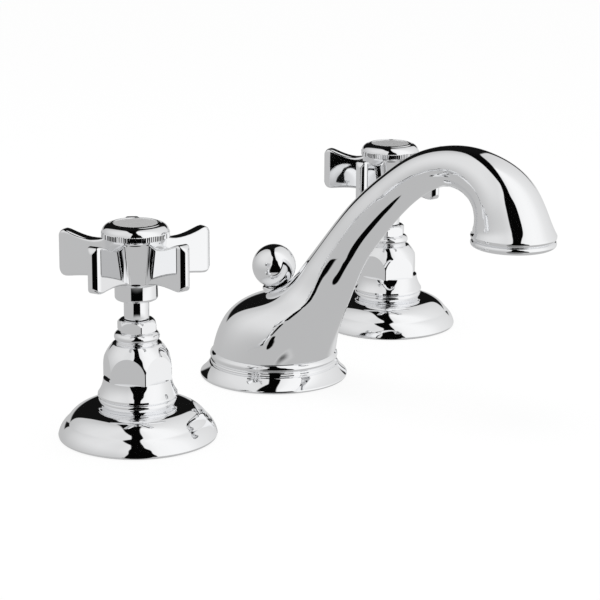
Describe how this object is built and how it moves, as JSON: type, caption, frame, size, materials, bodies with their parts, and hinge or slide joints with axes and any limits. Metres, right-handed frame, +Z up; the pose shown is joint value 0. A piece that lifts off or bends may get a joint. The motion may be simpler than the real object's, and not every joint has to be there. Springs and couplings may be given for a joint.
{
  "type": "three-hole basin mixer",
  "caption": "Chrome three-hole basin mixer: a swan-neck spout with a ball lift knob between two side valves with five-bladed cross handles.",
  "frame": {"origin": "on the deck, under the middle of the spout's foot", "axes": "+Z up, the spout points to -Y, the side valves stand at -X (hot) and +X (cold)"},
  "size_m": [0.2632, 0.1634, 0.2255],
  "materials": {
    "chrome": "mirror-bright plating",
    "brass": "machined",
    "rubber": "matt",
    "steel": "zinc plated",
    "ceramic": "lapped ceramic",
    "insert_plastic": "moulded",
    "index_white": "glazed, off-white"
  },
  "bodies": {
    "fixed": {"aerator_insert": "insert_plastic", "aerator_seal": "rubber", "cold_backnut": "brass", "cold_bead_ring": "chrome", "cold_bonnet": "chrome", "cold_cartridge_body": "brass", "cold_escutcheon": "chrome", "cold_escutcheon_gasket": "rubber", "cold_fixed_disc": "ceramic", "cold_gland_nut": "chrome", "cold_metal_washer": "steel", "cold_neck_ring": "chrome", "cold_rubber_washer": "rubber", "cold_seat_seal": "rubber", "cold_spindle_seal": "rubber", "cold_valve_body": "brass", "hot_backnut": "brass", "hot_bead_ring": "chrome", "hot_bonnet": "chrome", "hot_cartridge_body": "brass", "hot_escutcheon": "chrome", "hot_escutcheon_gasket": "rubber", "hot_fixed_disc": "ceramic", "hot_gland_nut": "chrome", "hot_metal_washer": "steel", "hot_neck_ring": "chrome", "hot_rubber_washer": "rubber", "hot_seat_seal": "rubber", "hot_spindle_seal": "rubber", "hot_valve_body": "brass", "inlet_tee": "brass", "outlet_ring": "chrome", "rod_guide": "chrome", "shank_seal": "rubber", "spout_backnut": "brass", "spout_base_gasket": "rubber", "spout_base_ring": "chrome", "spout_body": "chrome", "spout_metal_washer": "steel", "spout_rubber_washer": "rubber", "spout_shank": "brass"},
    "hot_control": {"hot_handle": "chrome", "hot_spindle": "chrome", "hot_handle_screw": "steel", "hot_handle_cap": "chrome", "hot_index_disc": "index_white", "hot_moving_disc": "ceramic"},
    "cold_control": {"cold_handle": "chrome", "cold_spindle": "chrome", "cold_handle_screw": "steel", "cold_handle_cap": "chrome", "cold_index_disc": "index_white", "cold_moving_disc": "ceramic"},
    "pop_up_lift": {"lift_rod": "chrome", "lift_knob": "chrome"}
  },
  "joints": [
    {"name": "hot_handle_turn", "type": "hinge", "parent": "fixed", "child": "hot_control", "pos_m": [-0.1, 0, 0.066], "axis": [0, 0, -1], "range_deg": [0, 90]},
    {"name": "cold_handle_turn", "type": "hinge", "parent": "fixed", "child": "cold_control", "pos_m": [0.1, 0, 0.066], "axis": [0, 0, 1], "range_deg": [0, 90]},
    {"name": "pop_up_slide", "type": "slide", "parent": "fixed", "child": "pop_up_lift", "axis": [0, 0, 1], "range_m": [0, 0.016]}
  ]
}
